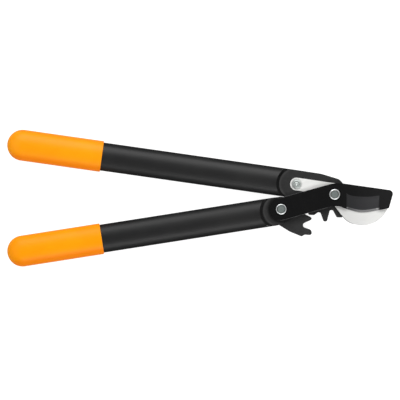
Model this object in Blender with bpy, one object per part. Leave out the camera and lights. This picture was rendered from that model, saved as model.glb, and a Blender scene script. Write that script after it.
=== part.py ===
"""Geared bypass lopper, lying flat with its jaws shut. Metres, +Z up, jaws towards +X.

The main pivot stands on the origin. The hook is fast in the upper handle. The blade turns on the main
pivot, and the lower handle turns on the blade's tang with its gear rolling round the gear under the hook.
"""
import math

import bmesh
import bpy
from mathutils import Matrix, Vector

for old in list(bpy.data.objects):
    bpy.data.objects.remove(old, do_unlink=True)

MM = 0.001

# Clearances
FIT = 0.3 * MM
GROOVE = 3.3 * MM

# Plan positions and directions
HANDLE_PIVOT = (-63.8 * MM, -17.7 * MM)
HOOK_RIVET = (-45.5 * MM, 12.3 * MM)
UPPER_DIRECTION = 171.9
LOWER_DIRECTION = 188.9
UPPER_OFFSET = 0.15 * MM
LOWER_OFFSET = 1.6 * MM
UPPER_STEP = 2.8 * MM
LOWER_STEP = 4.5 * MM

# Heights of the layers, from the table upwards
HEAD_HEIGHT = 1.5 * MM
WASHER_THICKNESS = 0.9 * MM
GEAR_THICKNESS = 9.4 * MM
HOOK_THICKNESS = 3.8 * MM
BLADE_THICKNESS = 3.5 * MM
RING_HEIGHT = 1.1 * MM

# Handles
TUBE_WIDTH = 33.7 * MM
TUBE_DEPTH = 19.7 * MM
TUBE_WALL = 1.8 * MM
GRIP_WALL = 1.65 * MM
GRIP_LENGTH = 114.0 * MM
UPPER_REACH = 348.4 * MM
LOWER_REACH = 330.8 * MM
END_WALL = 14.0 * MM
MOUTH_ROUND = 0.7 * MM
PLUG_LENGTH = 12.0 * MM
SPIGOT_LENGTH = 42.0 * MM
STEP_MARGIN = 4.55 * MM
TONGUE_WIDTH = 23.0 * MM
TONGUE_DROP = 4.8 * MM
TONGUE_RISE = 2.8 * MM
LEDGE_ROUND = 1.1 * MM

# Blade and hook
TANG_UPPER_SIDE = 13.5 * MM
TANG_LOWER_SIDE = 13.2 * MM
TANG_END = 14.1 * MM
HOOK_EYE = 13.2 * MM
HOOK_TAIL = 7.7 * MM
TANG_UNDERSIDE = 172.0
POCKET_DEPTH = 3.6 * MM
EDGE_THICKNESS = 0.35 * MM
HONE_WIDTH = 2.7 * MM
HONE_THICKNESS = 1.1 * MM
GEAR_CHAMFER = 0.4 * MM
STEEL_CHAMFER = 0.25 * MM

# Rivets
SHANK_RADIUS = 3.6 * MM
BUSH_WALL = 1.5 * MM
BACK_HEAD_RADIUS = 7.2 * MM
BACK_WASHER_RADIUS = 8.6 * MM
FRONT_HEAD_RADIUS = 4.7 * MM
RING_RADIUS = 6.5 * MM
HOOK_SHANK_RADIUS = 2.8 * MM
HOOK_BACK_HEAD_RADIUS = 5.2 * MM
HOOK_WASHER_RADIUS = 6.4 * MM
HOOK_HEAD_RADIUS = 5.4 * MM
HOOK_HEAD_HEIGHT = 1.5 * MM
BOSS_RADIUS = 15.0 * MM

# Sizes that follow from the tube
GRIP_WIDTH = TUBE_WIDTH + 2 * GRIP_WALL
GRIP_DEPTH = TUBE_DEPTH + 2 * GRIP_WALL
STEP_RADIUS = TUBE_WIDTH / 2 + STEP_MARGIN

# Levels
WASHER_LOW = HEAD_HEIGHT + FIT
GEAR_LOW = WASHER_LOW + WASHER_THICKNESS + FIT
GEAR_HIGH = GEAR_LOW + GEAR_THICKNESS
HOOK_LOW = GEAR_HIGH + FIT
HOOK_HIGH = HOOK_LOW + HOOK_THICKNESS
BLADE_LOW = HOOK_HIGH + FIT
BLADE_HIGH = BLADE_LOW + BLADE_THICKNESS
RING_LOW = BLADE_HIGH + FIT
RING_HIGH = RING_LOW + RING_HEIGHT
AXIS_HEIGHT = GRIP_DEPTH / 2
LEDGE_HIGH = GEAR_HIGH + POCKET_DEPTH
CARRIER = math.degrees(math.atan2(HANDLE_PIVOT[1], HANDLE_PIVOT[0])) % 360
CARRIER_LENGTH = math.hypot(*HANDLE_PIVOT)


def polar(radius, degrees, centre=(0.0, 0.0)):
    angle = math.radians(degrees)
    return (centre[0] + radius * math.cos(angle), centre[1] + radius * math.sin(angle))


def beside(origin, degrees, out, side):
    """The point that lies out along a direction and side to its left."""
    angle = math.radians(degrees)
    return (origin[0] + out * math.cos(angle) - side * math.sin(angle),
            origin[1] + out * math.sin(angle) + side * math.cos(angle))


def rounded(corners, step=18.0):
    """Closed outline through (x, y, fillet radius) corners."""
    outline = []
    for index, (x, y, radius) in enumerate(corners):
        before = Vector(corners[index - 1][:2]) - Vector((x, y))
        after = Vector(corners[(index + 1) % len(corners)][:2]) - Vector((x, y))
        limit = 0.49 * min(before.length, after.length)
        before.normalize()
        after.normalize()
        half = 0.5 * math.acos(max(-1.0, min(1.0, before.dot(after))))
        if radius == 0 or half > 1.55:
            outline.append((x, y))
            continue
        reach = min(radius / math.tan(half), limit)
        radius = reach * math.tan(half)
        centre = Vector((x, y)) + (before + after).normalized() * radius / math.sin(half)
        first = Vector((x, y)) + before * reach - centre
        last = Vector((x, y)) + after * reach - centre
        start = math.atan2(first.y, first.x)
        turn = (math.atan2(last.y, last.x) - start + math.pi) % (2 * math.pi) - math.pi
        count = max(1, math.ceil(abs(math.degrees(turn)) / step))
        for k in range(count + 1):
            angle = start + turn * k / count
            outline.append((centre.x + radius * math.cos(angle), centre.y + radius * math.sin(angle)))
    return outline


def smooth_line(points, per=3):
    """Open curve through the points."""
    line = []
    last = len(points) - 1
    for i in range(last):
        four = (points[max(i - 1, 0)], points[i], points[i + 1], points[min(i + 2, last)])
        for k in range(per):
            t = k / per
            line.append(tuple(0.5 * (2 * b + (c - a) * t + (2 * a - 5 * b + 4 * c - d) * t ** 2
                                     + (3 * b - a - 3 * c + d) * t ** 3) for a, b, c, d in zip(*four)))
    line.append(points[-1])
    return line


def scaled(points):
    return [tuple(value * MM for value in point) for point in points]


def arc(centre, radius, start, end, step=10.0):
    count = max(1, round(abs(end - start) / step))
    return [polar(radius, start + (end - start) * k / count, centre) for k in range(count + 1)]


def tang_sides():
    """Angles of the straight sides' ends on the hook's tail, and of the upper side's end on its eye."""
    base = math.degrees(math.atan2(HOOK_RIVET[1], HOOK_RIVET[0]))
    side = math.degrees(math.acos((HOOK_EYE - HOOK_TAIL) / math.hypot(*HOOK_RIVET)))
    return base - side, TANG_UNDERSIDE + 90


def finish(bm, name, colour, roughness, metallic, origin=(0.0, 0.0, 0.0), sharp=35.0):
    """Object with its own material, its origin on the given point."""
    bmesh.ops.remove_doubles(bm, verts=bm.verts, dist=0.000005)
    bmesh.ops.recalc_face_normals(bm, faces=bm.faces)
    mesh = bpy.data.meshes.new(name)
    bm.to_mesh(mesh)
    bm.free()
    mesh.transform(Matrix.Translation(-Vector(origin)))
    material = bpy.data.materials.new(name)
    material.use_nodes = True
    shader = material.node_tree.nodes["Principled BSDF"]
    shader.inputs["Base Color"].default_value = (*colour, 1.0)
    shader.inputs["Roughness"].default_value = roughness
    shader.inputs["Metallic"].default_value = metallic
    material.diffuse_color = (*colour, 1.0)
    mesh.materials.append(material)
    piece = bpy.data.objects.new(name, mesh)
    piece.location = origin
    bpy.context.scene.collection.objects.link(piece)
    mesh.shade_smooth()
    mesh.set_sharp_from_angle(angle=math.radians(sharp))
    return piece


def prism(outline, low, high, chamfer=0.0, segments=1):
    """Flat plate with the outline in plan and its rims broken by the chamfer."""
    bm = bmesh.new()
    verts = [bm.verts.new((x, y, low)) for x, y in outline]
    face = bm.faces.new(verts)
    grown = bmesh.ops.extrude_face_region(bm, geom=[face])
    top = [item for item in grown["geom"] if isinstance(item, bmesh.types.BMVert)]
    bmesh.ops.translate(bm, vec=(0, 0, high - low), verts=top)
    bmesh.ops.recalc_face_normals(bm, faces=bm.faces)
    if chamfer:
        rims = [edge for edge in bm.edges if abs(edge.verts[0].co.z - edge.verts[1].co.z) < 1e-7]
        bmesh.ops.bevel(bm, geom=rims, offset=chamfer, segments=segments, profile=0.5, affect="EDGES",
                        clamp_overlap=True)
    return bm


def turned(profile, centre, steps=48):
    """Solid of revolution about the upright line through the centre, from (radius, height) points."""
    bm = bmesh.new()
    verts = [bm.verts.new((centre[0] + r, centre[1], z)) for r, z in profile]
    edges = [bm.edges.new(pair) for pair in zip(verts, verts[1:])]
    if profile[0][0] > 1e-6:
        edges.append(bm.edges.new((verts[-1], verts[0])))
    bmesh.ops.spin(bm, geom=verts + edges, cent=(*centre, 0), axis=(0, 0, 1), angle=2 * math.pi,
                   steps=steps)
    bmesh.ops.remove_doubles(bm, verts=bm.verts, dist=0.00001)
    loose = [edge for edge in bm.edges if not edge.link_faces]
    bmesh.ops.delete(bm, geom=loose, context="EDGES")
    bmesh.ops.recalc_face_normals(bm, faces=bm.faces)
    return bm


def oval_run(rings, origin, degrees, side, closed=False, count=48):
    """Solid through oval rings (distance out, width, depth) along a handle's axis."""
    bm = bmesh.new()
    loops = []
    for out, width, depth in rings:
        loop = []
        for k in range(count):
            angle = 2 * math.pi * k / count
            x, y = beside(origin, degrees, out, side + width / 2 * math.cos(angle))
            loop.append(bm.verts.new((x, y, AXIS_HEIGHT + depth / 2 * math.sin(angle))))
        loops.append(loop)
    pairs = list(zip(loops, loops[1:]))
    if closed:
        pairs.append((loops[-1], loops[0]))
    for one, two in pairs:
        for k in range(count):
            n = (k + 1) % count
            bm.faces.new((one[k], one[n], two[n], two[k]))
    if not closed:
        for loop, out in ((loops[0], rings[0][0]), (loops[-1], rings[-1][0])):
            x, y = beside(origin, degrees, out, side)
            pole = bm.verts.new((x, y, AXIS_HEIGHT))
            for k in range(count):
                bm.faces.new((loop[k], loop[(k + 1) % count], pole))
    bmesh.ops.recalc_face_normals(bm, faces=bm.faces)
    return bm


def cutter(bm, name):
    tool = finish(bm, name, (0.5, 0.5, 0.5), 0.5, 0.0)
    tool.hide_render = True
    tool.display_type = "WIRE"
    return tool


def combine(target, tool, operation):
    """Apply one exact Boolean and drop its tool."""
    change = target.modifiers.new(operation, "BOOLEAN")
    change.operation = operation
    change.solver = "EXACT"
    change.object = tool
    bpy.context.view_layer.update()
    graph = bpy.context.evaluated_depsgraph_get()
    made = bpy.data.meshes.new_from_object(target.evaluated_get(graph))
    target.modifiers.clear()
    old = target.data
    name = old.name
    target.data = made
    bpy.data.meshes.remove(old)
    made.name = name
    bpy.data.objects.remove(tool, do_unlink=True)
    bm = bmesh.new()
    bm.from_mesh(made)
    bmesh.ops.remove_doubles(bm, verts=bm.verts, dist=0.00001)
    bmesh.ops.dissolve_degenerate(bm, edges=bm.edges, dist=0.00001)
    bm.to_mesh(made)
    bm.free()
    made.shade_smooth()
    made.set_sharp_from_angle(angle=math.radians(35))


def drill(target, centre, radius, low, high):
    hole = [(0.0, high), (radius, high), (radius, low), (0.0, low)]
    combine(target, cutter(turned(hole, centre), "hole"), "DIFFERENCE")


BLACK_COAT = (0.009, 0.009, 0.010)
SATIN_BLACK = (0.020, 0.020, 0.020)
MATTE_BLACK = (0.030, 0.030, 0.031)
ORANGE = (0.98, 0.33, 0.006)
SILVER = (0.80, 0.80, 0.78)
STEEL = (0.62, 0.63, 0.62)
BRONZE = (0.42, 0.27, 0.10)

PIVOT_AXIS = (0.0, 0.0, 0.0)
HANDLE_AXIS = (*HANDLE_PIVOT, 0.0)


# Blade
def blade_outline():
    end = CARRIER_LENGTH + TANG_END
    upper = beside((0, 0), CARRIER, end, -TANG_UPPER_SIDE)
    lower = beside((0, 0), CARRIER, end, TANG_LOWER_SIDE)
    belly = smooth_line([(15.5, -17.6), (19.6, -18.8), (26.5, -20.7), (33.3, -21.3),
                         (40.0, -20.9), (48.0, -19.5), (54.8, -18.3)], 2)
    corners = scaled([(2.1, 14.2, 42.0)]) + [(*upper, TANG_LOWER_SIDE - FIT), (*lower, TANG_LOWER_SIDE - FIT)]
    corners += scaled([(-1.5, -13.9, 10.0), (6.2, -14.3, 8.0), (13.7, -17.2, 2.0)])
    corners += [(*point, 0.0) for point in scaled(belly)]
    corners += scaled([(60.5, -17.4, 8.0), (64.8, -16.3, 0.8), (70.7, 4.45, 4.8)])
    return rounded(corners), belly


def height_at(line, x):
    """Where a line drawn from left to right stands at x, or its end's height beyond it."""
    for (x0, y0), (x1, y1) in zip(line, line[1:]):
        if x0 <= x <= x1:
            return y0 + (y1 - y0) * (x - x0) / (x1 - x0)
    return line[0][1] if x < line[0][0] else line[-1][1]


def grind_cutter(belly):
    """Wedge that leaves the hollow-ground face, its top edge a shallow arc, and the honed strip below it."""
    bm = bmesh.new()
    columns = []
    brow = smooth_line([(14.0, 1.6), (17.5, -0.7), (24.0, -2.2), (33.0, -2.8), (42.0, -2.7), (53.2, -1.4)])
    count = 14
    beyond = 2.0 * MM
    fall = (HONE_THICKNESS - EDGE_THICKNESS) / HONE_WIDTH
    for k in range(count + 1):
        x = brow[0][0] + (brow[-1][0] - brow[0][0]) * k / count
        level = height_at(belly, x) * MM
        top = height_at(brow, x) * MM
        row = [(top, BLADE_HIGH), (level + HONE_WIDTH, BLADE_LOW + HONE_THICKNESS),
               (level - beyond, BLADE_LOW + EDGE_THICKNESS - fall * beyond * 0.15),
               (level - beyond, BLADE_HIGH + beyond), (top, BLADE_HIGH + beyond)]
        columns.append([bm.verts.new((x * MM, y, z)) for y, z in row])
    for one, two in zip(columns, columns[1:]):
        for k in range(len(one)):
            n = (k + 1) % len(one)
            bm.faces.new((one[k], one[n], two[n], two[k]))
    bm.faces.new(columns[0])
    bm.faces.new(columns[-1])
    bmesh.ops.recalc_face_normals(bm, faces=bm.faces)
    return bm


outline, belly_line = blade_outline()
blank = prism(outline, BLADE_LOW, BLADE_HIGH, STEEL_CHAMFER)
blade = finish(blank, "blade", BLACK_COAT, 0.42, 0.0, PIVOT_AXIS)
combine(blade, cutter(grind_cutter(belly_line), "grind"), "DIFFERENCE")
drill(blade, (0.0, 0.0), SHANK_RADIUS + BUSH_WALL + 2 * FIT, BLADE_LOW - 1 * MM, BLADE_HIGH + 1 * MM)
drill(blade, HANDLE_PIVOT, SHANK_RADIUS + FIT, BLADE_LOW - 1 * MM, BLADE_HIGH + 1 * MM)


# Hook
def hook_outline():
    upper_side, lower_side = tang_sides()
    eye = arc((0.0, 0.0), HOOK_EYE, 181.0, 266.0)
    outer = scaled(smooth_line([(0.2, -14.1), (4.1, -19.3), (9.6, -26.7), (14.2, -31.4), (19.0, -34.2),
                                (27.0, -36.2), (36.3, -36.5), (45.8, -34.2), (54.2, -29.1),
                                (60.1, -22.4), (63.9, -15.6), (65.8, -10.6)]))
    inner = scaled(smooth_line([(62.6, -9.4), (57.0, -13.2), (47.0, -16.9), (36.0, -18.4),
                                (25.0, -17.2), (17.0, -13.6), (13.0, -8.0)]))
    rest = arc((0.0, 0.0), HOOK_EYE, 336.0, 360 + upper_side)
    tail = arc(HOOK_RIVET, HOOK_TAIL, upper_side, lower_side, 15.0)
    return eye + outer + inner + rest + tail


hook = finish(prism(hook_outline(), HOOK_LOW, HOOK_HIGH, STEEL_CHAMFER), "hook", SILVER, 0.3, 1.0)
drill(hook, (0.0, 0.0), SHANK_RADIUS + FIT, HOOK_LOW - 1 * MM, HOOK_HIGH + 1 * MM)
drill(hook, HOOK_RIVET, HOOK_SHANK_RADIUS + FIT, HOOK_LOW - 1 * MM, HOOK_HIGH + 1 * MM)


# Gear fittings
def upper_gear_outline():
    teeth = [(37.5, 181.5, 0.5), (39.0, 189.8, 1.8), (30.9, 198.0, 2.0), (30.6, 207.0, 2.0),
             (38.4, 213.8, 1.2), (39.4, 218.3, 1.6), (34.9, 225.2, 2.4), (28.8, 227.3, 2.0),
             (27.7, 233.1, 2.2), (34.7, 247.6, 2.4), (33.8, 254.2, 2.2), (19.8, 253.2, 1.8),
             (18.8, 263.5, 1.8), (27.5, 275.2, 2.0), (29.3, 289.5, 1.8), (13.4, 310.0, 0.5)]
    hub = [(13.4, angle, 0.0) for angle in range(325, 540, 15)]
    return rounded([(*polar(r * MM, angle), fillet * MM) for r, angle, fillet in teeth + hub])


def lower_gear_outline():
    corners = scaled([(-3.3, -18.35, 0.5), (10.6, -26.95, 30.0), (24.4, -32.45, 1.8),
                      (28.0, -30.35, 1.8), (36.8, -30.9, 2.4), (36.1, -24.6, 4.0),
                      (21.0, -19.4, 3.0), (39.1, -11.2, 2.4), (31.0, -7.1, 4.0), (27.3, -5.2, 2.4)])
    more = [(24.7, -0.5, 2.4), (35.1, 6.9, 1.6), (34.8, 10.8, 1.8),
            (26.1, 17.0, 2.2), (26.2, 30.9, 2.0), (14.9, 46.0, 2.0)]
    hub = [(14.9, angle, 0.0) for angle in range(60, 241, 15)]
    corners += [(*polar(r * MM, angle), fillet * MM) for r, angle, fillet in more + hub]
    return [(x + HANDLE_PIVOT[0], y + HANDLE_PIVOT[1]) for x, y in rounded(corners)]


def shoulder(origin, degrees, offset, step):
    """Round end of a ledge, from its left side to its right side seen along the handle."""
    centre = beside(origin, degrees, step, offset)
    half = TUBE_WIDTH / 2 - FIT
    spread = math.degrees(math.asin(half / (STEP_RADIUS - GROOVE))) - 3.0
    return centre, arc(centre, STEP_RADIUS - GROOVE, degrees + spread, degrees - spread, 6.0)


def upper_ledge_outline():
    _, end = shoulder(HOOK_RIVET, UPPER_DIRECTION, UPPER_OFFSET, UPPER_STEP)
    arm = scaled([(12.0, 8.5, 1.0), (10.9, 12.0, 2.0), (5.8, 18.0, 10.0), (-4.5, 21.1, 20.0),
                  (-16.0, 24.6, 30.0)])
    upper_side = beside(HOOK_RIVET, UPPER_DIRECTION, 9.0 * MM, UPPER_OFFSET - TUBE_WIDTH / 2)
    lower_side = beside(HOOK_RIVET, UPPER_DIRECTION, 11.5 * MM, UPPER_OFFSET + TUBE_WIDTH / 2)
    corners = arm + [(*upper_side, 6.0 * MM)]
    corners += [(*point, 0.0) for point in reversed(end)]
    corners += [(*lower_side, 2.0 * MM)]
    corners += scaled([(-54.3, -3.3, 3.0), (-44.5, -0.9, 3.0), (-38.4, -6.0, 1.0),
                       (-22.0, -12.0, 2.0), (-4.0, -13.2, 4.0), (12.0, -5.0, 4.0)])
    return rounded(corners)


def lower_ledge_outline():
    _, end = shoulder(HANDLE_PIVOT, LOWER_DIRECTION, LOWER_OFFSET, LOWER_STEP)
    upper_side = beside(HANDLE_PIVOT, LOWER_DIRECTION, 9.0 * MM, LOWER_OFFSET - TUBE_WIDTH / 2)
    lower_side = beside(HANDLE_PIVOT, LOWER_DIRECTION, 2.0 * MM, LOWER_OFFSET + TUBE_WIDTH / 2)
    boss = [(*polar(BOSS_RADIUS, angle, HANDLE_PIVOT), 0.0) for angle in range(-76, 105, 10)]
    return rounded([(*upper_side, 4.0 * MM)] + [(*point, 0.0) for point in reversed(end)]
                   + [(*lower_side, 6.0 * MM)] + boss)


def spigot(origin, degrees, offset, step):
    """Oval plug that fills the tube's end, hollowed round the step, and the tongue that carries the ledge."""
    width = TUBE_WIDTH - 2 * TUBE_WALL - 2 * FIT
    depth = TUBE_DEPTH - 2 * TUBE_WALL - 2 * FIT
    start = step + 12.0 * MM
    end = step + STEP_RADIUS + SPIGOT_LENGTH
    round_end = 1.5 * MM
    rings = [(start, width, depth), (end - round_end, width, depth),
             (end, width - 2 * round_end, depth - 2 * round_end)]
    plug = finish(oval_run(rings, origin, degrees, offset), "plug", MATTE_BLACK, 0.6, 0.0)
    centre = beside(origin, degrees, step, offset)
    drill(plug, centre, STEP_RADIUS + 2 * FIT, AXIS_HEIGHT + TONGUE_RISE, GRIP_DEPTH + 1 * MM)
    half = TONGUE_WIDTH / 2
    reach = step + STEP_RADIUS + 8.0 * MM
    corners = [(*beside(origin, degrees, out, offset + side), 0.0) for out, side in
               ((4.0 * MM, -half), (reach, -half), (reach, half), (4.0 * MM, half))]
    tongue = prism(rounded(corners), AXIS_HEIGHT - TONGUE_DROP, AXIS_HEIGHT + TONGUE_RISE)
    combine(plug, cutter(tongue, "tongue"), "UNION")
    half = TUBE_WIDTH / 2 - FIT
    spread = math.degrees(math.asin(half / (STEP_RADIUS - FIT)))
    floor = arc(centre, STEP_RADIUS - FIT, degrees - spread, degrees + spread, 6.0)
    floor += [beside(origin, degrees, 9.0 * MM, offset + side) for side in (half, -half)]
    low = GEAR_LOW + 0.8 * MM
    high = AXIS_HEIGHT + TONGUE_RISE + 0.1 * MM
    combine(plug, cutter(prism(floor, low, high), "groove_floor"), "UNION")
    return plug


def fitting(name, ledge, gear, origin, degrees, offset, step, pivot):
    plate = prism(ledge, GEAR_LOW + 0.05 * MM, LEDGE_HIGH, LEDGE_ROUND, 3)
    body = finish(plate, name, MATTE_BLACK, 0.6, 0.0, pivot)
    combine(body, spigot(origin, degrees, offset, step), "UNION")
    combine(body, cutter(prism(gear, GEAR_LOW, GEAR_HIGH, GEAR_CHAMFER), "gear"), "UNION")
    return body


upper_gear = fitting("upper_gear_fitting", upper_ledge_outline(), upper_gear_outline(),
                     HOOK_RIVET, UPPER_DIRECTION, UPPER_OFFSET, UPPER_STEP, PIVOT_AXIS)
tang_upper, tang_lower = tang_sides()
pocket = (arc((0.0, 0.0), HOOK_EYE + FIT, 182.0, 360 + tang_upper)
          + arc(HOOK_RIVET, HOOK_TAIL + FIT, tang_upper, tang_lower, 15.0))
combine(upper_gear, cutter(prism(pocket, GEAR_HIGH, LEDGE_HIGH + 2 * MM), "pocket"), "DIFFERENCE")
neck = [(-0.02, -0.0135), (0.012, -0.0135), (0.03, -0.03), (0.03, 0.006), (0.0118, 0.0076), (0.0, 0.0)]
combine(upper_gear, cutter(prism(neck, GEAR_HIGH + 0.01 * MM, LEDGE_HIGH + 2.5 * MM), "neck"), "DIFFERENCE")
drill(upper_gear, (0.0, 0.0), SHANK_RADIUS + FIT, 0.0, GRIP_DEPTH)
drill(upper_gear, HOOK_RIVET, HOOK_SHANK_RADIUS + FIT, 0.0, GRIP_DEPTH)

lower_gear = fitting("lower_gear_fitting", lower_ledge_outline(), lower_gear_outline(),
                     HANDLE_PIVOT, LOWER_DIRECTION, LOWER_OFFSET, LOWER_STEP, HANDLE_AXIS)
drill(lower_gear, HANDLE_PIVOT, SHANK_RADIUS + BUSH_WALL + 2 * FIT, 0.0, GRIP_DEPTH)


# Handles
def handle(label, origin, degrees, offset, step, reach, pivot):
    centre = beside(origin, degrees, step, offset)
    bore_width = TUBE_WIDTH - 2 * TUBE_WALL
    bore_depth = TUBE_DEPTH - 2 * TUBE_WALL
    start = step + 8.0 * MM
    stop = reach - END_WALL - FIT
    rings = [(start, TUBE_WIDTH, TUBE_DEPTH), (stop, TUBE_WIDTH, TUBE_DEPTH), (stop, bore_width, bore_depth),
             (start, bore_width, bore_depth)]
    shell = oval_run(rings, origin, degrees, offset, closed=True)
    tube = finish(shell, label + "_tube", SATIN_BLACK, 0.33, 0.0, pivot)
    drill(tube, centre, STEP_RADIUS, -1 * MM, GRIP_DEPTH + 1 * MM)

    width = bore_width - 2 * FIT
    depth = bore_depth - 2 * FIT
    lead = 1.0 * MM
    rings = [(stop - PLUG_LENGTH, width - 2 * lead, depth - 2 * lead),
             (stop - PLUG_LENGTH + lead, width, depth), (stop, width, depth)]
    finish(oval_run(rings, origin, degrees, offset), label + "_end_plug", MATTE_BLACK, 0.6, 0.0, pivot)

    mouth = reach - GRIP_LENGTH
    nose = GRIP_WIDTH / 2
    rings = []
    for k in range(1, 9):
        angle = math.pi / 2 * k / 8
        share = math.sin(angle)
        rings.append((reach - nose + nose * math.cos(angle), GRIP_WIDTH * share, GRIP_DEPTH * share))
    rings += [(reach - GRIP_LENGTH / 2, GRIP_WIDTH, GRIP_DEPTH),
              (mouth + MOUTH_ROUND, GRIP_WIDTH, GRIP_DEPTH),
              (mouth + 0.3 * MOUTH_ROUND, GRIP_WIDTH - 0.6 * MOUTH_ROUND, GRIP_DEPTH - 0.6 * MOUTH_ROUND),
              (mouth, GRIP_WIDTH - 2 * MOUTH_ROUND, GRIP_DEPTH - 2 * MOUTH_ROUND),
              (mouth, TUBE_WIDTH + 2 * FIT, TUBE_DEPTH + 2 * FIT),
              (reach - END_WALL, TUBE_WIDTH + 2 * FIT, TUBE_DEPTH + 2 * FIT)]
    finish(oval_run(rings, origin, degrees, offset), label + "_grip", ORANGE, 0.5, 0.0, pivot)


handle("upper", HOOK_RIVET, UPPER_DIRECTION, UPPER_OFFSET, UPPER_STEP, UPPER_REACH, PIVOT_AXIS)
handle("lower", HANDLE_PIVOT, LOWER_DIRECTION, LOWER_OFFSET, LOWER_STEP, LOWER_REACH, HANDLE_AXIS)


# Pivots
def pivot_set(label, centre, bush_low, bush_high, axis, bush_axis):
    """Rivet with its front ring, its bush and its back washer."""
    head_top = RING_HIGH + 0.2 * MM
    edge = 0.3 * MM
    rivet = [(0.0, head_top), (FRONT_HEAD_RADIUS - edge, head_top), (FRONT_HEAD_RADIUS, head_top - edge),
             (FRONT_HEAD_RADIUS, RING_LOW), (SHANK_RADIUS, RING_LOW), (SHANK_RADIUS, HEAD_HEIGHT),
             (BACK_HEAD_RADIUS, HEAD_HEIGHT), (BACK_HEAD_RADIUS, edge), (BACK_HEAD_RADIUS - edge, 0.0),
             (0.0, 0.0)]
    finish(turned(rivet, centre), label + "_rivet", STEEL, 0.45, 1.0, axis)
    inner = FRONT_HEAD_RADIUS + FIT
    ring = [(inner, RING_HIGH), (RING_RADIUS - edge, RING_HIGH), (RING_RADIUS, RING_HIGH - edge),
            (RING_RADIUS, RING_LOW), (inner, RING_LOW)]
    finish(turned(ring, centre), label + "_front_ring", SILVER, 0.25, 1.0, axis)
    inner = SHANK_RADIUS + FIT
    outer = SHANK_RADIUS + FIT + BUSH_WALL
    bush = [(inner, bush_high), (outer, bush_high), (outer, bush_low), (inner, bush_low)]
    finish(turned(bush, centre), label + "_bush", BRONZE, 0.4, 1.0, bush_axis)
    high = WASHER_LOW + WASHER_THICKNESS
    washer = [(inner, high), (BACK_WASHER_RADIUS, high), (BACK_WASHER_RADIUS, WASHER_LOW),
              (inner, WASHER_LOW)]
    finish(turned(washer, centre), label + "_back_washer", STEEL, 0.4, 1.0, axis)


pivot_set("blade_pivot", (0.0, 0.0), BLADE_LOW, BLADE_HIGH, PIVOT_AXIS, PIVOT_AXIS)
pivot_set("handle_pivot", HANDLE_PIVOT, GEAR_LOW, LEDGE_HIGH, HANDLE_AXIS, HANDLE_AXIS)

crown = 0.35 * MM
head_low = HOOK_HIGH + FIT
head_top = head_low + HOOK_HEAD_HEIGHT
back_low = 0.5 * MM
stud = [(0.0, head_top - crown), (1.0 * MM, head_top - crown), (2.0 * MM, head_top),
        (HOOK_HEAD_RADIUS - 1.0 * MM, head_top), (HOOK_HEAD_RADIUS, head_top - 0.8 * MM),
        (HOOK_HEAD_RADIUS, head_low), (HOOK_SHANK_RADIUS, head_low),
        (HOOK_SHANK_RADIUS, HEAD_HEIGHT), (HOOK_BACK_HEAD_RADIUS, HEAD_HEIGHT),
        (HOOK_BACK_HEAD_RADIUS, back_low + 0.3 * MM), (HOOK_BACK_HEAD_RADIUS - 0.3 * MM, back_low),
        (0.0, back_low)]
finish(turned(stud, HOOK_RIVET, 40), "hook_rivet", STEEL, 0.35, 1.0, PIVOT_AXIS)
washer_top = WASHER_LOW + WASHER_THICKNESS
washer = [(HOOK_SHANK_RADIUS + FIT, washer_top), (HOOK_WASHER_RADIUS, washer_top),
          (HOOK_WASHER_RADIUS, WASHER_LOW), (HOOK_SHANK_RADIUS + FIT, WASHER_LOW)]
finish(turned(washer, HOOK_RIVET, 40), "hook_back_washer", STEEL, 0.4, 1.0, PIVOT_AXIS)
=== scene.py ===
"""Geared bypass lopper on a white table, seen straight from above.

The tool lies flat with its jaws to the right. The main pivot is on the origin.
Sizes are in metres and +Z is up.
"""
import math

import bpy
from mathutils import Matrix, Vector


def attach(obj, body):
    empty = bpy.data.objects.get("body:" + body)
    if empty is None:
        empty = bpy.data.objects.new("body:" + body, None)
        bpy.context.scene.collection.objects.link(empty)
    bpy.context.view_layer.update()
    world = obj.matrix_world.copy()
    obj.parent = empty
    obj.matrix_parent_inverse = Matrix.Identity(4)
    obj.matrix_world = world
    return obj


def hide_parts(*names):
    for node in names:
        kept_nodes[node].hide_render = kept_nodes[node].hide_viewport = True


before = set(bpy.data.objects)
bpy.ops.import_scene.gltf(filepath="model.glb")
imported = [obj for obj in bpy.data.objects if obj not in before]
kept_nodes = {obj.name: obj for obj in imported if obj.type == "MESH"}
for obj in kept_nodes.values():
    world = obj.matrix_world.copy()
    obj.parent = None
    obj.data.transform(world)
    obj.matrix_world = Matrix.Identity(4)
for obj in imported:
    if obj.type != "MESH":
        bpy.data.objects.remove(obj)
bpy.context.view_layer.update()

MM = 0.001
FIT = 0.3 * MM

# Points nearer than these are merged, and a point that near to a level stands on it
OUTLINE_MERGE = 0.02 * MM
RING_MERGE = 0.003 * MM
SEAM_MERGE = 0.002 * MM
ON_LEVEL = 0.001 * MM

# Plan of the pivots and handles. The carrier is the stretch of the blade between the two pivots
MAIN_PIVOT = (0.0, 0.0)
HANDLE_PIVOT = (-63.8 * MM, -17.7 * MM)
HOOK_RIVET = (-45.5 * MM, 12.3 * MM)
UPPER = {"origin": HOOK_RIVET, "turn": 171.9, "offset": 0.15 * MM, "step": 2.8 * MM, "reach": 348.4 * MM}
LOWER = {"origin": HANDLE_PIVOT, "turn": 188.9, "offset": 1.6 * MM, "step": 4.5 * MM, "reach": 330.8 * MM}
CARRIER_TURN = math.degrees(math.atan2(HANDLE_PIVOT[1], HANDLE_PIVOT[0])) % 360
CARRIER_LENGTH = math.hypot(*HANDLE_PIVOT)

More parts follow.
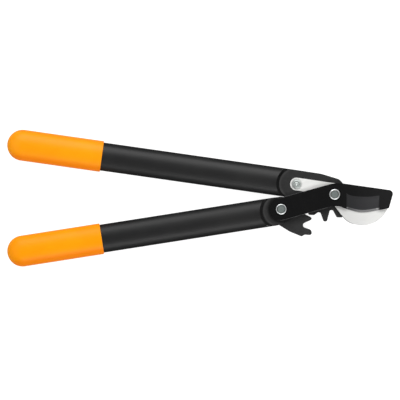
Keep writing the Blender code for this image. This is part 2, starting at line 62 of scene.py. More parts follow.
# Heights of the layers over the table, and of the cutters that go through them all
AXIS_HEIGHT = 11.5 * MM
GEAR_LOW, GEAR_HIGH = 3.0 * MM, 12.4 * MM
HOOK_LOW, HOOK_HIGH = 12.7 * MM, 16.5 * MM
LEDGE_HIGH = 16.0 * MM
BLADE_LOW, BLADE_HIGH = 16.8 * MM, 20.3 * MM
RING_LOW, RING_HIGH = 20.6 * MM, 21.7 * MM
CUT_LOW, CUT_HIGH = -5.0 * MM, 30.0 * MM

# Tubes and grips
TUBE_WIDTH, TUBE_DEPTH, TUBE_WALL = 33.7 * MM, 19.7 * MM, 1.8 * MM
TUBE_START = 6.0 * MM
GRIP_WIDTH, GRIP_DEPTH, GRIP_LENGTH = 36.94 * MM, 22.95 * MM, 114.0 * MM
GRIP_END_GAP = 0.03 * MM
END_WALL = 14.0 * MM
MOUTH_ROLL = 0.9 * MM

# Gear fittings: the shoulder and the groove round it, the spigot, and the tongue and floor that tie them
# together. The tongue and the floor start from the handle's origin, and the other lengths from its step
STEP_RADIUS = 21.4 * MM
GROOVE = 3.3 * MM
BOSS_RADIUS = 15.0 * MM
BROW, UNDER_BROW, WEB_RIM = 1.3 * MM, 0.6 * MM, 0.7 * MM
SPIGOT_START, SPIGOT_END, SPIGOT_TAPER = 12.0 * MM, STEP_RADIUS + 42.0 * MM, 1.5 * MM
TONGUE_START, TONGUE_END, TONGUE_HALF = 4.0 * MM, STEP_RADIUS + 8.0 * MM, 11.5 * MM
TONGUE_LOW, TONGUE_HIGH = AXIS_HEIGHT - 4.8 * MM, AXIS_HEIGHT + 2.8 * MM
FLOOR_START = 6.5 * MM
FLOOR_LOW, FLOOR_HIGH = GEAR_LOW + 0.8 * MM, AXIS_HEIGHT + 2.9 * MM
OVERLAP = 0.05 * MM

# Blade and hook
TANG_UPPER_SIDE, TANG_LOWER_SIDE, TANG_END = 13.5 * MM, 13.2 * MM, 14.1 * MM
BLADE_RIM = 0.35 * MM
GROUND_LEFT, GROUND_RIGHT = 13.9 * MM, 53.3 * MM
HONED_WIDTH, EDGE_THICKNESS, HOLLOW = 2.7 * MM, 1.1 * MM, 0.25 * MM
HOOK_EYE, HOOK_TAIL = 13.2 * MM, 7.7 * MM
HOOK_UNDERSIDE_TURN = 172.0
HOOK_RIM, HOOK_UNDER_RIM = 0.7 * MM, 0.35 * MM

# Pivots
SHANK, HOOK_SHANK = 3.6 * MM, 2.8 * MM
BUSH_HOLE = SHANK + 1.5 * MM + 2 * FIT
BACK_HEAD, FRONT_HEAD = 7.2 * MM, 4.7 * MM
RING_INNER, RING_OUTER = 5.1 * MM, 6.4 * MM
STUD_BACK, STUD_FRONT = 5.2 * MM, 5.4 * MM
BACK_HEAD_HIGH = 1.5 * MM
STUD_LOW, STUD_HIGH = 0.5 * MM, HOOK_HIGH + FIT + 1.5 * MM

# Sides of a turned solid, and the radius that stands for none in its middle
TURNED_SIDES = 72
NO_RADIUS = 0.02 * MM

# Where the lights point, and the part of the table that the photo shows at the height where its scale holds
MIDDLE = (-0.16, 0.0, 0.0)
FRAME_CENTRE = (-0.1606, -0.0067)
FRAME_WIDTH = 0.4772
SCALE_HEIGHT = 0.012


# Outlines in plan

def polar(radius, degrees, centre=(0.0, 0.0)):
    angle = math.radians(degrees)
    return (centre[0] + radius * math.cos(angle), centre[1] + radius * math.sin(angle))


def beside(origin, degrees, out, side):
    """The point that lies out along a direction and side to its left."""
    angle = math.radians(degrees)
    return (origin[0] + out * math.cos(angle) - side * math.sin(angle),
            origin[1] + out * math.sin(angle) + side * math.cos(angle))


def handle_point(handle, out, side):
    """A point out along the handle's axis and side to its left."""
    return beside(handle["origin"], handle["turn"], out, handle["offset"] + side)


def shoulder_centre(handle):
    """Middle of the fitting's round shoulder and of the tube's scoop."""
    return handle_point(handle, handle["step"], 0.0)


def arc(centre, radius, start, end, step=4.0):
    """Points round a centre from one direction to another, in degrees."""
    count = max(1, round(abs(end - start) / step))
    return [polar(radius, start + (end - start) * k / count, centre) for k in range(count + 1)]


def rounded(corners, step=7.0):
    """Closed outline through (x, y, fillet radius) corners."""
    outline = []
    for index, (x, y, radius) in enumerate(corners):
        before = Vector(corners[index - 1][:2]) - Vector((x, y))
        after = Vector(corners[(index + 1) % len(corners)][:2]) - Vector((x, y))
        limit = 0.49 * min(before.length, after.length)
        before.normalize()
        after.normalize()
        half = 0.5 * math.acos(max(-1.0, min(1.0, before.dot(after))))
        nearly_straight = half > 1.55
        if radius == 0 or nearly_straight:
            outline.append((x, y))
            continue
        reach = min(radius / math.tan(half), limit)
        radius = reach * math.tan(half)
        centre = Vector((x, y)) + (before + after).normalized() * radius / math.sin(half)
        first = Vector((x, y)) + before * reach - centre
        last = Vector((x, y)) + after * reach - centre
        start = math.atan2(first.y, first.x)
        turn = (math.atan2(last.y, last.x) - start + math.pi) % (2 * math.pi) - math.pi
        count = max(1, math.ceil(abs(math.degrees(turn)) / step))
        for k in range(count + 1):
            angle = start + turn * k / count
            outline.append((centre.x + radius * math.cos(angle), centre.y + radius * math.sin(angle)))
    return outline


def smooth_line(points):
    """Open curve through the points, with six steps from each to the next."""
    line = []
    steps = 6
    last = len(points) - 1
    for i in range(last):
        four = (points[max(i - 1, 0)], points[i], points[i + 1], points[min(i + 2, last)])
        for k in range(steps):
            t = k / steps
            line.append(tuple(0.5 * (2 * b + (c - a) * t + (2 * a - 5 * b + 4 * c - d) * t ** 2
                                     + (3 * b - a - 3 * c + d) * t ** 3) for a, b, c, d in zip(*four)))
    line.append(points[-1])
    return line


def scaled(points):
    """Points given in millimetres, in metres."""
    return [tuple(value * MM for value in point) for point in points]


def sharp(points):
    """Points as corners without a fillet."""
    return [(*point, 0.0) for point in points]


# Modelling by hand

def only(piece):
    """Make this the one selected and active object."""
    if bpy.context.object and bpy.context.object.mode != "OBJECT":
        bpy.ops.object.mode_set(mode="OBJECT")
    bpy.ops.object.select_all(action="DESELECT")
    piece.select_set(True)
    bpy.context.view_layer.objects.active = piece


def settle(piece):
    """Put the object on the origin, unturned and unscaled, with its place in its mesh."""
    only(piece)
    bpy.ops.object.transform_apply(location=True, rotation=True, scale=True)
    return piece


def open_edit(piece, kind, test=lambda *parts: True):
    """Enter edit mode with only the faces, edges or vertices selected that pass the test."""
    only(piece)
    bpy.ops.object.mode_set(mode="EDIT")
    bpy.ops.mesh.select_mode(type=kind)
    bpy.ops.mesh.select_all(action="DESELECT")
    bpy.ops.object.mode_set(mode="OBJECT")
    mesh = piece.data
    if kind == "FACE":
        for face in mesh.polygons:
            face.select = test(face)
    elif kind == "EDGE":
        for edge in mesh.edges:
            edge.select = test(*(mesh.vertices[index].co for index in edge.vertices))
    else:
        for vertex in mesh.vertices:
            vertex.select = test(vertex.co)
    bpy.ops.object.mode_set(mode="EDIT")


def close_edit():
    bpy.ops.object.mode_set(mode="OBJECT")


def close_solid():
    """Point all the faces outwards and leave edit mode."""
    bpy.ops.mesh.select_all(action="SELECT")
    bpy.ops.mesh.normals_make_consistent(inside=False)
    close_edit()


def level_test(level, axis="z"):
    """Test for edges whose two ends stand at the level along the axis."""
    return lambda one, two: all(abs(getattr(end, axis) - level) < ON_LEVEL for end in (one, two))


def flat_line(name, outline, level):
    """Closed flat curve turned into a mesh with one face."""
    curve = bpy.data.curves.new(name, "CURVE")
    curve.dimensions = "2D"
    curve.fill_mode = "NONE"
    line = curve.splines.new("POLY")
    line.points.add(len(outline) - 1)
    for point, (x, y) in zip(line.points, outline):
        point.co = (x, y, 0.0, 1.0)
    line.use_cyclic_u = True
    piece = bpy.data.objects.new(name, curve)
    bpy.context.scene.collection.objects.link(piece)
    piece.location.z = level
    only(piece)
    bpy.ops.object.convert(target="MESH")
    piece = settle(bpy.context.object)
    open_edit(piece, "VERT")
    bpy.ops.mesh.remove_doubles(threshold=OUTLINE_MERGE)
    bpy.ops.mesh.edge_face_add()
    close_edit()
    return piece


def plate(name, outline, low, high, rim=0.0, segments=3, under=None):
    """Flat plate cut to the outline, its rims rounded."""
    piece = flat_line(name, outline, low)
    open_edit(piece, "FACE")
    bpy.ops.mesh.extrude_region_move(TRANSFORM_OT_translate={"value": (0, 0, high - low)})
    close_solid()
    for level, size in ((high, rim), (low, rim if under is None else under)):
        if size:
            open_edit(piece, "EDGE", level_test(level))
            bpy.ops.mesh.bevel(offset=size, offset_type="OFFSET", segments=segments, profile=0.5,
                               affect="EDGES", clamp_overlap=True)
            close_edit()
    return piece


def join_solids(piece, tool, operation="DIFFERENCE"):
    """Cut the tool out of the piece, or weld the two, and throw the tool away."""
    only(piece)
    change = piece.modifiers.new("join", "BOOLEAN")
    change.operation = operation
    change.solver = "EXACT"
    change.object = tool
    bpy.ops.object.modifier_apply(modifier=change.name)
    bpy.data.objects.remove(tool, do_unlink=True)


def drill(piece, centre, radius, low=CUT_LOW, count=64):
    """Upright round hole from the low level up."""
    bpy.ops.object.select_all(action="DESELECT")
    bpy.ops.mesh.primitive_cylinder_add(vertices=count, radius=radius, depth=CUT_HIGH - low,
                                        location=(*centre, (low + CUT_HIGH) / 2))
    join_solids(piece, settle(bpy.context.object))


def chamfer(piece, width):
    """Round every edge that is sharper than 45 degrees."""
    only(piece)
    change = piece.modifiers.new("edges", "BEVEL")
    change.limit_method = "ANGLE"
    change.angle_limit = math.radians(45.0)
    change.width = width
    change.segments = 2
    bpy.ops.object.modifier_apply(modifier=change.name)


def way_along(axis):
    return Vector((1, 0, 0)) if axis == "X" else Vector((0, 0, 1))


def stretch_across(axis, wide, deep):
    """Scale that leaves lengths along the axis alone."""
    return (1.0, wide, deep) if axis == "X" else (wide, deep, 1.0)


def draw_rings(rings, axis, middle, extrude):
    """Extrude the selected ring, which is the first, to each of the next ones.

    Each ring is (along, half width, half depth).
    """
    way = way_along(axis)
    for (along, width, depth), (next_along, next_width, next_depth) in zip(rings, rings[1:]):
        extrude(TRANSFORM_OT_translate={"value": way * (next_along - along)})
        bpy.ops.transform.resize(value=stretch_across(axis, next_width / width, next_depth / depth),
                                 center_override=middle + way * next_along)


def ring_line(name, rings, axis, centre, count, closed=True):
    """Round or oval body drawn from ring to ring along X or Z.

    A closed body joins its last ring to its first. An open one starts and ends on a flat face.
    """
    bpy.ops.object.select_all(action="DESELECT")
    bpy.ops.mesh.primitive_circle_add(vertices=count, radius=1.0, fill_type="NOTHING" if closed else "NGON")
    piece = bpy.context.object
    piece.name = piece.data.name = name
    if axis == "X":
        piece.rotation_euler = (0.0, math.pi / 2, 0.0)
    settle(piece)
    along, width, depth = rings[0]
    middle = Vector(centre)
    bpy.ops.object.mode_set(mode="EDIT")
    bpy.ops.mesh.select_all(action="SELECT")
    bpy.ops.transform.resize(value=stretch_across(axis, width, depth), center_override=(0, 0, 0))
    bpy.ops.transform.translate(value=middle + way_along(axis) * along)
    if closed:
        bpy.ops.mesh.select_mode(type="EDGE")
        draw_rings([*rings, rings[0]], axis, middle, bpy.ops.mesh.extrude_edges_move)
    else:
        bpy.ops.mesh.select_mode(type="FACE")
        draw_rings(rings, axis, middle, bpy.ops.mesh.extrude_region_move)
    bpy.ops.mesh.select_all(action="SELECT")
    bpy.ops.mesh.remove_doubles(threshold=RING_MERGE)
    close_solid()
    return piece


def into_handle(piece, handle):
    """Turn a piece drawn along +X into its handle's direction and set it on the handle's origin."""
    piece.rotation_euler = (0.0, 0.0, math.radians(handle["turn"]))
    piece.location = (*handle["origin"], 0.0)
    return settle(piece)


def finish_piece(piece, name, body, nodes, finishes, degrees=32.0):
    """Clean and shade it, give it its finishes and hang it on its body."""
    piece.name = piece.data.name = name
    settle(piece)
    open_edit(piece, "VERT")
    bpy.ops.mesh.remove_doubles(threshold=SEAM_MERGE)
    bpy.ops.mesh.dissolve_degenerate(threshold=SEAM_MERGE)
    close_edit()
    bpy.ops.object.shade_smooth_by_angle(angle=math.radians(degrees))
    weigh = piece.modifiers.new("normals", "WEIGHTED_NORMAL")
    weigh.keep_sharp = True
    bpy.ops.object.modifier_apply(modifier=weigh.name)
    piece.data.materials.clear()
    for finish in finishes:
        piece.data.materials.append(finish)
    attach(piece, body)
    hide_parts(*nodes)


def paint_faces(piece, index, test):
    """Give the faces that pass the test another of the piece's finishes."""
    for face in piece.data.polygons:
        if test(face):
            face.material_index = index


# Finishes

class Amount:
    """A number or colour that varies over the surface. Numbers take part in plain arithmetic."""

    def __init__(self, shading, socket):
        self.shading = shading
        self.socket = socket

    def maths(self, operation, *others):
        return self.shading.node("Math", {"operation": operation}, dict(enumerate((self, *others))))

    def __add__(self, other):
        return self.maths("ADD", other)

    def __sub__(self, other):
        return self.maths("SUBTRACT", other)

    def __rsub__(self, other):
        return self.shading.node("Math", {"operation": "SUBTRACT"}, {0: other, 1: self})

    def __mul__(self, other):
        return self.maths("MULTIPLY", other)

    def __pow__(self, other):
        return self.maths("POWER", other)

    __radd__ = __add__
    __rmul__ = __mul__

    def waves(self, pitch):
        """From 0 to 1 and back once in every pitch."""
        return (self * (2 * math.pi / pitch)).maths("SINE") * 0.5 + 0.5

    def clear_of(self, low, high):
        """0 at low and before it, 1 at high and past it, smooth between. High may be the lesser."""
        return self.shading.node("MapRange", {"interpolation_type": "SMOOTHSTEP"},
                                 {"Value": self, "From Min": low, "From Max": high})


class Shading:
    """A tree of nodes that ends in one shader."""

    def __init__(self, tree, shader):
        self.tree = tree
        self.shader = tree.nodes[shader]

    def node(self, kind, settings=None, inputs=None, output=0):
        """Any node: its type, its settings, and the values or links of its sockets."""
        made = self.tree.nodes.new("ShaderNode" + kind)
        for key, value in (settings or {}).items():
            if key == "stops":
                ramp = made.color_ramp.elements
                while len(ramp) < len(value):
                    ramp.new(0.5)
                for stop, (place, colour) in zip(ramp, value):
                    stop.position = place
                    stop.color = colour
            else:
                setattr(made, key, value)
        for key, value in (inputs or {}).items():
            if isinstance(value, Amount):
                self.tree.links.new(value.socket, made.inputs[key])
            else:
                made.inputs[key].default_value = value
        return Amount(self, made.outputs[output])

    def feed(self, name, value):
        self.tree.links.new(value.socket, self.shader.inputs[name])

    def axis(self, place, name):
        return self.node("SeparateXYZ", None, {"Vector": place}, name)


class Finish(Shading):
    """One material, built on the principled shader."""

    def __init__(self, name, **constants):
        self.material = bpy.data.materials.new(name)
        self.material.use_nodes = True
        super().__init__(self.material.node_tree, "Principled BSDF")
        for key, value in constants.items():
            self.shader.inputs[key.replace("_", " ")].default_value = value

    def place(self, origin=(0.0, 0.0, 0.0), turn=0.0, stretch=(1.0, 1.0, 1.0)):
        """Object coordinates, centred and turned to suit the piece."""
        where = self.node("TexCoord", output="Object")
        return self.node("Mapping", {"vector_type": "TEXTURE"},
                         {"Vector": where, "Location": origin, "Rotation": (0.0, 0.0, math.radians(turn)),
                          "Scale": stretch})

    def along(self, handle, stretch=(1.0, 1.0, 1.0)):
        """Coordinates that start on the handle's origin and run along its axis."""
        return self.place((*handle["origin"], AXIS_HEIGHT), handle["turn"], stretch)

    def across(self):
        """Distance to the right of the main pivot."""
        return self.axis(self.place(), 0)

    def reach(self, centre):
        """Distance in plan from a point."""
        here = self.place((*centre, 0.0))
        across = self.axis(here, 0)
        up = self.axis(here, 1)
        return (across * across + up * up) ** 0.5

    def grain(self, place, size, detail=2.0, rough=0.5):
        """Noise from 0 to 1 with features of the given size."""
        return self.node("TexNoise", None, {"Vector": place, "Scale": 1.0 / size, "Detail": detail,
                                            "Roughness": rough}, "Fac")

    def over(self, amount, under, top):
        """Colour top laid over colour under as far as the amount says."""
        under, top = (colour if isinstance(colour, Amount) else (*colour, 1.0) for colour in (under, top))
        return self.node("Mix", {"data_type": "RGBA"}, {0: amount, 6: under, 7: top}, 2)

    def relief(self, height, depth):
        """Bump whose height of 1 stands for depth metres."""
        self.feed("Normal", self.node("Bump", None, {"Height": height, "Distance": depth}))


def grey(level):
    return (level, level, level)


def dimmed(colour, share):
    return tuple(value * share for value in colour)


def grip_finish(name, handle, gloss):
    """Soft orange rubber: fine matt grain, faint clouds and scuffed places, with a faint orange glow as
    painted light and its sides darkened as painted shade.
    """
    # Painted light: a faint orange glow that evens out the rubber's shading
    made = Finish(name, Specular_IOR_Level=gloss, Emission_Strength=0.06,
                  Emission_Color=(1.0, 0.34, 0.0, 1.0))
    here = made.along(handle)
    cloud = made.grain(here, 30.0 * MM, 2.0, 0.55)
    fine = made.grain(here, 0.45 * MM, 2.0, 0.6)
    scuff = made.grain(made.along(handle, (0.10, 0.022, 0.03)), 0.35, 4.0, 0.62).clear_of(0.60, 0.74)
    base = made.over(cloud.clear_of(0.35, 0.65), (0.98, 0.310, 0.0005), (0.98, 0.330, 0.0010))
    base = made.over(scuff * 0.16, base, (0.95, 0.38, 0.010))
    # Painted shade: the grip's two sides are darkened where less light falls
    side = made.axis(here, 1)
    deep = side.clear_of(8.5 * MM, 15.5 * MM) + (side * -1.0).clear_of(13.5 * MM, 17.5 * MM) * 0.7
    made.feed("Base Color", made.over(deep, base, (0.95, 0.235, 0.0005)))
    made.feed("Roughness", 0.32 + 0.07 * fine - 0.05 * scuff)
    made.relief(fine + cloud * 0.4, 0.05 * MM)
    return made.material


def tube_finish(name, handle, rough, gloss):
    """Satin black coat over drawn tube: soft orange peel, with hair lines along the tube."""
    made = Finish(name, Specular_IOR_Level=gloss)
    here = made.along(handle)
    peel = made.grain(here, 1.1 * MM)
    cloud = made.grain(here, 40.0 * MM)
    lines = made.grain(made.along(handle, (0.12, 0.0009, 0.0009)), 1.0, 3.0, 0.6).clear_of(0.60, 0.80)
    base = made.over(cloud.clear_of(0.3, 0.7), (0.0115, 0.0115, 0.0118), grey(0.0150))
    made.feed("Base Color", made.over(lines * 0.25, base, grey(0.032)))
    made.feed("Roughness", rough + 0.08 * cloud - 0.05 * lines)
    made.relief(peel + lines * 0.3, 0.04 * MM)
    return made.material


def composite_finish(name, tint, handle=None, tang=None):
    """Glass filled nylon: dense matt black with a fine pebble grain.

    A handle's shoulder has a painted highlight along its rim, and the groove round it has painted shade. A
    painted shadow darkens the ledge round the end of the blade's tang.
    """
    made = Finish(name, Specular_IOR_Level=0.23)
    here = made.place()
    pebble = made.grain(here, 0.7 * MM, 3.0, 0.65)
    cloud = made.grain(here, 9.0 * MM, 3.0, 0.6)
    light = (tint * 1.12, tint * 1.12, tint * 1.13)
    base = made.over(cloud.clear_of(0.3, 0.7), grey(tint * 0.86), light)
    if handle:
        centre = shoulder_centre(handle)
        rim = STEP_RADIUS - GROOVE
        away = made.reach(centre)
        out = made.axis(made.place((*centre, 0.0), handle["turn"]), 0)
        # Painted highlight where the shoulder's rounded rim catches the light
        painted_rim_highlight = away.clear_of(rim - 3.4 * MM, rim - 1.0 * MM) * out.clear_of(5.0 * MM, 11.0 * MM)
        # Painted shade in the groove round the shoulder
        painted_groove_shade = away.clear_of(rim + 0.1 * MM, rim + 0.3 * MM) * out.clear_of(5.0 * MM, 6.0 * MM)
        base = made.over(painted_rim_highlight, base, grey(tint * 1.75))
        base = made.over(painted_groove_shade, base, grey(tint * 0.12))
    if tang:
        # Painted shadow on the ledge round the end of the blade's tang
        painted_tang_shadow = 1.0 - made.reach(tang).clear_of(14.6 * MM, 18.0 * MM)
        base = made.over(painted_tang_shadow, base, grey(tint * 0.28))
    made.feed("Base Color", base)
    made.feed("Roughness", 0.58 + 0.16 * pebble)
    made.relief(pebble + cloud * 0.6, 0.09 * MM)
    return made.material


def coat_finish(name, painted_rim_highlight=None):
    """Slick black blade coat, almost flat, with rub marks that circle the pivot.

    With a highlight colour it is painted lighter along the tang and round the tip, a painted highlight on
    the rim, and fades out at the ends.
    """
    made = Finish(name, Specular_IOR_Level=0.09)
    here = made.place()
    fine = made.grain(here, 0.8 * MM, 3.0, 0.6)
    cloud = made.grain(here, 16.0 * MM, 3.0, 0.55)
    across = made.axis(here, 0)
    reach = made.reach(MAIN_PIVOT)
    rub = made.node("TexNoise", {"noise_dimensions": "1D"},
                    {"W": reach * 1400.0, "Detail": 2.0, "Roughness": 0.6}, "Fac").clear_of(0.56, 0.80)
    rub = rub * reach.clear_of(12.0 * MM, 30.0 * MM) * cloud.clear_of(0.40, 0.62)
    tone = across.clear_of(-5.0 * MM, 72.0 * MM) * 0.85 + fine * 0.15
    base = made.over(tone, (0.0032, 0.0032, 0.0034), (0.0125, 0.0125, 0.0128))
    # Painted highlight along the tang's rim and round the tip
    if painted_rim_highlight:
        above = made.axis(here, 1).clear_of(-11.0 * MM, -9.0 * MM)
        rim_mask = across.clear_of(-70.0 * MM, -60.0 * MM)
        rim_mask = rim_mask * (1.0 - above * across.clear_of(-32.0 * MM, -18.0 * MM))
        rim_mask = rim_mask * (1.0 - (1.0 - above) * across.clear_of(-12.0 * MM, -1.0 * MM))
        tip = across.clear_of(40.0 * MM, 50.0 * MM)
        base = made.over(rim_mask + tip, base, painted_rim_highlight)
    made.feed("Base Color", made.over(rub * 0.35, base, (0.030, 0.030, 0.031)))
    made.feed("Roughness", 0.44 + 0.12 * fine - 0.06 * rub)
    made.relief(fine + rub * 0.5, 0.03 * MM)
    return made.material


def ground_finish():
    """The hollow ground face: dark, with the wheel's fine lines across the edge."""
    made = Finish("blade_ground_face", Specular_IOR_Level=0.4, Metallic=0.35)
    lines = made.grain(made.place(stretch=(0.00022, 0.030, 0.030)), 1.0, 3.0, 0.6)
    cloud = made.grain(made.place(), 10.0 * MM)
    across = made.across()
    right_end = across.clear_of(50.0 * MM, 53.5 * MM)
    ends = 0.20 - across.clear_of(15.0 * MM, 21.0 * MM) * 0.20 + right_end * 0.9
    streaks = across.waves(1.5 * MM) * ends
    tone = across.clear_of(5.0 * MM, 55.0 * MM) * 0.7 + lines * 0.3
    base = made.over(tone, (0.0098, 0.0098, 0.0108), (0.0350, 0.0350, 0.0375))
    made.feed("Base Color", made.over(streaks * 0.55, base, (0.060, 0.060, 0.063)))
    made.feed("Roughness", 0.42 + 0.14 * cloud)
    made.relief(lines, 0.03 * MM)
    return made.material


def honed_finish():
    """Fine honed strip, grey along its length, with a painted glint near each end."""
    made = Finish("blade_honed_edge", Metallic=0.4)
    brush = made.grain(made.place(turn=90.0, stretch=(0.045, 0.0006, 0.0006)), 1.0, 3.0, 0.6)
    base = made.over(brush, (0.190, 0.190, 0.192), (0.220, 0.220, 0.222))
    start = 1.0 - made.across().clear_of(16.0 * MM, 32.0 * MM)
    base = made.over(start, base, (0.070, 0.070, 0.072))
    # Two painted glints on the strip, one near each end
    for painted_glint, shine in (((15.2 * MM, -15.6 * MM), 0.15), ((50.6 * MM, -17.0 * MM), 0.36)):
        glint_mask = 1.0 - made.reach(painted_glint).clear_of(0.6 * MM, 1.5 * MM)
        base = made.over(glint_mask * shine, base, (0.78, 0.78, 0.77))
    made.feed("Base Color", base)
    made.feed("Roughness", 0.42 + 0.10 * brush)
    made.relief(brush, 0.006 * MM)
    return made.material


def hook_finish(name, colour, rough, inner_darkening=None, fades_to=None):
    """Brushed steel with fine slanting lines and faint stains.

    The hook's face is darker about the pivot and in a ring round the stud. Its rim, painted dark as shade,
    fades into the face's colour towards the tip.
    """
    made = Finish(name, Metallic=0.3)
    brush = made.grain(made.place(turn=35.0, stretch=(0.045, 0.0011, 0.0011)), 1.0, 3.0, 0.6)
    cloud = made.grain(made.place(), 12.0 * MM, 3.0, 0.55)
    across = made.across()
    low = dimmed(colour, 0.904)
    base = made.over(brush, low, colour)
    # Darker about the pivot and in a ring round the stud
    if inner_darkening:
        side = across.clear_of(0.0, 62.0 * MM) + across.clear_of(-4.0 * MM, -30.0 * MM)
        base = made.over(1.0 - side, base, dimmed(colour, inner_darkening))
        round_stud = 1.0 - made.reach(HOOK_RIVET).clear_of(5.4 * MM, 7.4 * MM)
        base = made.over(round_stud, base, (0.60, 0.60, 0.59))
    base = made.over(cloud.clear_of(0.5, 0.75) * 0.25, base, dimmed(low, 0.93))
    # The rim's painted shade fades into the face's colour towards the tip
    if fades_to:
        base = made.over(across.clear_of(19.0 * MM, 25.0 * MM), base, fades_to)
    made.feed("Base Color", base)
    made.feed("Roughness", rough + 0.10 * brush)
    made.relief(brush, 0.0072 * MM)
    return made.material


def turned_finish(name, centre, colour, rough, pitch=0.35 * MM, dulled=None, metal=1.0):
    """Lathe turned metal with fine rings about its centre, duller outside the radius dulled."""
    made = Finish(name, Metallic=metal)
    reach = made.reach(centre)
    rings = reach.waves(pitch)
    cloud = made.grain(made.place((*centre, 0.0)), 2.2 * MM, 3.0, 0.6)
    base = made.over(cloud * 0.6 + rings * 0.4, dimmed(colour, 0.80), colour)
    if dulled:
        rim_mask = reach.clear_of(dulled - 0.2 * MM, dulled + 0.2 * MM) * (0.4 + 0.6 * cloud)
        base = made.over(rim_mask, base, dimmed(colour, 0.66))
    made.feed("Base Color", base)
    made.feed("Roughness", rough + 0.10 * cloud)
    made.relief(rings, 0.012 * MM)
    return made.material


def rivet_face_finish(name, centre):
    """Dull zinc plated rivet end: grey, lightly cratered, with a centre mark and a darker rim."""
    made = Finish(name, Metallic=0.55, Specular_IOR_Level=0.4)
    here = made.place((*centre, 0.0))
    crater = made.grain(here, 1.1 * MM, 3.0, 0.65)
    cloud = made.grain(here, 3.2 * MM)
    reach = made.reach(centre)
    tone = cloud * 0.4 + crater * 0.4 + reach.waves(1.5 * MM) * 0.2
    zinc = made.over(tone, (0.110, 0.131, 0.126), (0.235, 0.262, 0.254))
    mark = 1.0 - reach.clear_of(0.3 * MM, 0.8 * MM)
    rim = reach.clear_of(3.3 * MM, 4.4 * MM)
    made.feed("Base Color", made.over(mark * 0.35 + rim * (0.3 + 0.4 * cloud), zinc, (0.075, 0.088, 0.085)))
    made.feed("Roughness", 0.48 + 0.16 * crater)
    made.relief(crater - mark, 0.06 * MM)
    return made.material


# Handles

def make_tube(handle):
    """Oval tube, its jaw end scooped round the fitting's shoulder."""
    start = handle["step"] + TUBE_START
    stop = handle["reach"] - END_WALL - FIT
    outer = (TUBE_WIDTH / 2, TUBE_DEPTH / 2)
    inner = (outer[0] - TUBE_WALL, outer[1] - TUBE_WALL)
    tube = ring_line("tube", [(start, *outer), (stop, *outer), (stop, *inner), (start, *inner)], "X",
                     (0.0, handle["offset"], AXIS_HEIGHT), 128)
    drill(tube, (handle["step"], handle["offset"]), STEP_RADIUS, count=160)
    chamfer(tube, 0.2 * MM)
    return into_handle(tube, handle)


def make_grip(handle):
    """Sleeve with a ball end, drawn from half a ball, its mouth rolled in over the tube."""
    wide, deep = GRIP_WIDTH / 2, GRIP_DEPTH / 2
    nose = handle["reach"] - GRIP_END_GAP - wide
    mouth = handle["reach"] - GRIP_LENGTH
    bpy.ops.object.select_all(action="DESELECT")
    bpy.ops.mesh.primitive_uv_sphere_add(segments=96, ring_count=48, radius=1.0,
                                         rotation=(0, math.pi / 2, 0))
    grip = settle(bpy.context.object)
    open_edit(grip, "FACE", lambda face: face.center.x < 0)
    bpy.ops.mesh.delete(type="FACE")
    bpy.ops.mesh.select_all(action="SELECT")
    bpy.ops.transform.resize(value=(wide, wide, deep), center_override=(0, 0, 0))
    bpy.ops.transform.translate(value=(nose, handle["offset"], AXIS_HEIGHT))
    close_edit()
    open_edit(grip, "EDGE", level_test(nose, "x"))
    rings = [(along, wide, deep) for along in (nose, nose - 30 * MM, mouth + 6.0 * MM, mouth + MOUTH_ROLL)]
    for degrees in range(18, 91, 18):
        forward = MOUTH_ROLL * (1 - math.sin(math.radians(degrees)))
        inward = MOUTH_ROLL * (1 - math.cos(math.radians(degrees)))
        rings.append((mouth + forward, wide - inward, deep - inward))
    bore = (TUBE_WIDTH / 2 + FIT, TUBE_DEPTH / 2 + FIT)
    rings += [(mouth, *bore), (handle["reach"] - END_WALL, *bore)]
    draw_rings(rings, "X", Vector((0.0, handle["offset"], AXIS_HEIGHT)), bpy.ops.mesh.extrude_edges_move)
    bpy.ops.mesh.edge_face_add()
    close_solid()
    return into_handle(grip, handle)


for label, handle, body, tube_rough, tube_gloss, grip_gloss in (
        ("upper", UPPER, "hook_side", 0.35, 0.30, 0.19),
        ("lower", LOWER, "geared_handle", 0.36, 0.27, 0.14)):
    finish_piece(make_tube(handle), label + "_handle_tube", body, [label + "_tube"],
                 [tube_finish(label + "_tube_coat", handle, tube_rough, tube_gloss)])
    finish_piece(make_grip(handle), label + "_handle_grip", body, [label + "_grip"],
                 [grip_finish(label + "_grip_rubber", handle, grip_gloss)])


# Gear fittings

def shoulder(handle):
    """Round end of a ledge, from its right side to its left side seen along the handle."""
    radius = STEP_RADIUS - GROOVE
    spread = math.degrees(math.asin((TUBE_WIDTH / 2 - FIT) / radius)) - 3.0
    return arc(shoulder_centre(handle), radius, handle["turn"] - spread, handle["turn"] + spread, 3.0)


def upper_ledge():
    """Outline of the upper fitting's thick part, from its arm round the shoulder to under the blade."""
    edge = TUBE_WIDTH / 2
    corners = scaled([(12.0, 8.5, 1.0), (10.9, 12.0, 2.0), (5.8, 18.0, 10.0), (-4.5, 21.1, 20.0),
                      (-16.0, 24.6, 30.0)])
    corners += [(*handle_point(UPPER, 9.0 * MM, -edge), 6.0 * MM)]
    corners += sharp(shoulder(UPPER))
    corners += [(*handle_point(UPPER, 11.5 * MM, edge), 2.0 * MM)]
    corners += scaled([(-54.3, -3.3, 3.0), (-44.5, -0.9, 3.0), (-38.4, -6.0, 1.0), (-22.0, -12.0, 2.0),
                       (-4.0, -13.2, 4.0), (12.0, -5.0, 4.0)])
    return rounded(corners)


def lower_ledge():
    """Outline of the lower fitting's thick part, from its shoulder to the boss round its pivot."""
    edge = TUBE_WIDTH / 2
    boss = [polar(BOSS_RADIUS, angle, HANDLE_PIVOT) for angle in range(-76, 105, 5)]
    return rounded([(*handle_point(LOWER, 9.0 * MM, -edge), 4.0 * MM)]
                   + sharp(shoulder(LOWER))
                   + [(*handle_point(LOWER, 2.0 * MM, edge), 6.0 * MM)]
                   + sharp(boss))


def toothed(corners):
    """Corners given as (radius, angle, fillet) in millimetres and degrees."""
    return [(*polar(radius * MM, angle), fillet * MM) for radius, angle, fillet in corners]


